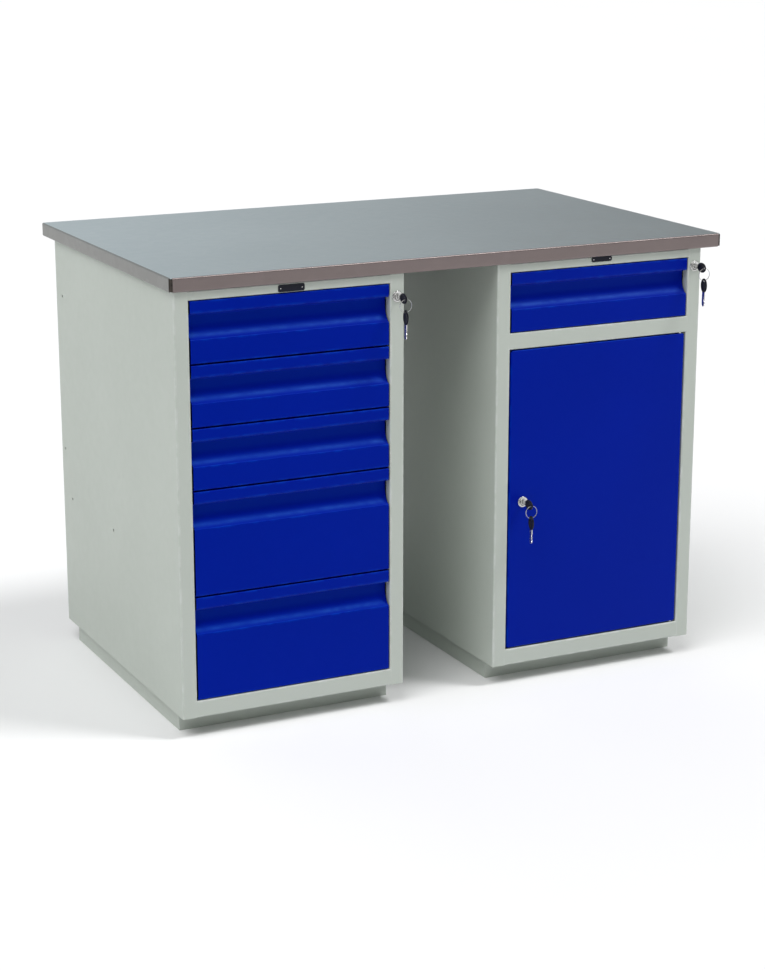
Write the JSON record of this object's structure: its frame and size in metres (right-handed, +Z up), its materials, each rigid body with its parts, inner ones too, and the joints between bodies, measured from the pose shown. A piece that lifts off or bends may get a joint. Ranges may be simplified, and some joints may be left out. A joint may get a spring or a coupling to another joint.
{
  "type": "workbench with drawers",
  "caption": "Steel pedestal workbench with a sheet-clad worktop, a bank of drawers on one side, a drawer above a door on the other, and cam locks with keys.",
  "frame": {"origin": "on the floor, under the middle of the whole envelope, keys included", "axes": "+Z up, the drawer fronts and the door face -Y, the five-drawer cabinet is at -X"},
  "size_m": [1.2, 0.791, 0.9],
  "materials": {
    "grey_paint": "light grey fine-textured powder coat",
    "blue_paint": "ultramarine blue fine-textured powder coat",
    "zinc_sheet": "galvanised sheet, soft sheen",
    "zinc_parts": "plain zinc-plated sheet",
    "bright_steel": "nickel-plated, polished",
    "board": "raw chipboard, hidden under the sheet",
    "key_plastic": "black moulded plastic, satin"
  },
  "bodies": {
    "frame": {"worktop_cover": "zinc_sheet", "worktop_board": "board", "left_cabinet_outer_side": "grey_paint", "left_cabinet_inner_side": "grey_paint", "left_cabinet_top": "grey_paint", "left_cabinet_base": "grey_paint", "left_cabinet_back": "grey_paint", "left_plinth": "grey_paint", "right_cabinet_inner_side": "grey_paint", "right_cabinet_outer_side": "grey_paint", "right_cabinet_top": "grey_paint", "right_cabinet_divider": "grey_paint", "right_cabinet_base": "grey_paint", "right_cabinet_back": "grey_paint", "right_cabinet_shelf": "grey_paint", "right_plinth": "grey_paint", "left_drawer_1_runner_left": "zinc_parts", "left_drawer_1_runner_right": "zinc_parts", "left_drawer_2_runner_left": "zinc_parts", "left_drawer_2_runner_right": "zinc_parts", "left_drawer_3_runner_left": "zinc_parts", "left_drawer_3_runner_right": "zinc_parts", "left_drawer_4_runner_left": "zinc_parts", "left_drawer_4_runner_right": "zinc_parts", "left_drawer_5_runner_left": "zinc_parts", "left_drawer_5_runner_right": "zinc_parts", "right_drawer_runner_left": "zinc_parts", "right_drawer_runner_right": "zinc_parts", "left_lock_barrel": "bright_steel", "right_lock_barrel": "bright_steel"},
    "left_drawer_1": {"left_drawer_1_front": "blue_paint", "left_drawer_1_tray": "zinc_parts"},
    "left_drawer_2": {"left_drawer_2_front": "blue_paint", "left_drawer_2_tray": "zinc_parts"},
    "left_drawer_3": {"left_drawer_3_front": "blue_paint", "left_drawer_3_tray": "zinc_parts"},
    "left_drawer_4": {"left_drawer_4_front": "blue_paint", "left_drawer_4_tray": "zinc_parts"},
    "left_drawer_5": {"left_drawer_5_front": "blue_paint", "left_drawer_5_tray": "zinc_parts"},
    "right_drawer": {"right_drawer_front": "blue_paint", "right_drawer_tray": "zinc_parts"},
    "door": {"door_panel": "blue_paint", "door_pin_top": "bright_steel", "door_pin_bottom": "bright_steel", "door_lock_barrel": "bright_steel"},
    "left_lock": {"left_lock_plug": "bright_steel", "left_lock_key": "key_plastic"},
    "left_lock_ring": {"left_lock_ring": "bright_steel"},
    "left_lock_spare": {"left_lock_spare_key": "key_plastic"},
    "right_lock": {"right_lock_plug": "bright_steel", "right_lock_key": "key_plastic"},
    "right_lock_ring": {"right_lock_ring": "bright_steel"},
    "right_lock_spare": {"right_lock_spare_key": "key_plastic"},
    "door_lock": {"door_lock_plug": "bright_steel", "door_lock_key": "key_plastic"},
    "door_lock_ring": {"door_lock_ring": "bright_steel"},
    "door_lock_spare": {"door_lock_spare_key": "key_plastic"},
    "left_lock_bar": {"left_lock_bar": "zinc_parts"}
  },
  "joints": [
    {"name": "left_drawer_1_slide", "type": "slide", "parent": "frame", "child": "left_drawer_1", "axis": [0, -1, 0], "range_m": [0, 0.42]},
    {"name": "left_drawer_2_slide", "type": "slide", "parent": "frame", "child": "left_drawer_2", "axis": [0, -1, 0], "range_m": [0, 0.42]},
    {"name": "left_drawer_3_slide", "type": "slide", "parent": "frame", "child": "left_drawer_3", "axis": [0, -1, 0], "range_m": [0, 0.42]},
    {"name": "left_drawer_4_slide", "type": "slide", "parent": "frame", "child": "left_drawer_4", "axis": [0, -1, 0], "range_m": [0, 0.42]},
    {"name": "left_drawer_5_slide", "type": "slide", "parent": "frame", "child": "left_drawer_5", "axis": [0, -1, 0], "range_m": [0, 0.42]},
    {"name": "right_drawer_slide", "type": "slide", "parent": "frame", "child": "right_drawer", "axis": [0, -1, 0], "range_m": [0, 0.42]},
    {"name": "door_swing", "type": "hinge", "parent": "frame", "child": "door", "pos_m": [0.515, -0.3425, 0.4], "axis": [0, 0, 1], "range_deg": [0, 110]},
    {"name": "left_lock_turn", "type": "hinge", "parent": "frame", "child": "left_lock", "pos_m": [-0.135, -0.3485, 0.829], "axis": [0, 1, 0], "range_deg": [0, 90]},
    {"name": "left_lock_ring_swing", "type": "hinge", "parent": "left_lock", "child": "left_lock_ring", "pos_m": [-0.135, -0.3855, 0.829], "axis": [-1, 0, 0], "range_deg": [0, 90]},
    {"name": "left_lock_spare_slip", "type": "hinge", "parent": "left_lock_ring", "child": "left_lock_spare", "pos_m": [-0.135, -0.3855, 0.8165], "axis": [0, -1, 0], "range_deg": [0, 90]},
    {"name": "right_lock_turn", "type": "hinge", "parent": "frame", "child": "right_lock", "pos_m": [0.541, -0.3485, 0.837], "axis": [0, 1, 0], "range_deg": [0, 90]},
    {"name": "right_lock_ring_swing", "type": "hinge", "parent": "right_lock", "child": "right_lock_ring", "pos_m": [0.541, -0.3855, 0.837], "axis": [-1, 0, 0], "range_deg": [0, 90]},
    {"name": "right_lock_spare_slip", "type": "hinge", "parent": "right_lock_ring", "child": "right_lock_spare", "pos_m": [0.541, -0.3855, 0.8245], "axis": [0, -1, 0], "range_deg": [0, 90]},
    {"name": "door_lock_turn", "type": "hinge", "parent": "door", "child": "door_lock", "pos_m": [0.148, -0.348, 0.386], "axis": [0, 1, 0], "range_deg": [0, 90]},
    {"name": "door_lock_ring_swing", "type": "hinge", "parent": "door_lock", "child": "door_lock_ring", "pos_m": [0.148, -0.385, 0.386], "axis": [-1, 0, 0], "range_deg": [0, 90]},
    {"name": "door_lock_spare_slip", "type": "hinge", "parent": "door_lock_ring", "child": "door_lock_spare", "pos_m": [0.148, -0.385, 0.3735], "axis": [0, -1, 0], "range_deg": [0, 90]},
    {"name": "left_lock_bar_drop", "type": "slide", "parent": "frame", "child": "left_lock_bar", "axis": [0, 0, -1], "range_m": [0, 0.0115]}
  ],
  "couplings": [
    {"joint": "left_lock_ring_swing", "follows": "left_lock_turn", "ratio": 1},
    {"joint": "left_lock_spare_slip", "follows": "left_lock_turn", "ratio": 1},
    {"joint": "right_lock_ring_swing", "follows": "right_lock_turn", "ratio": 1},
    {"joint": "right_lock_spare_slip", "follows": "right_lock_turn", "ratio": 1},
    {"joint": "door_lock_ring_swing", "follows": "door_lock_turn", "ratio": 1},
    {"joint": "door_lock_spare_slip", "follows": "door_lock_turn", "ratio": 1},
    {"joint": "left_lock_bar_drop", "follows": "left_lock_turn", "m_per_rad": 0.0072025}
  ]
}
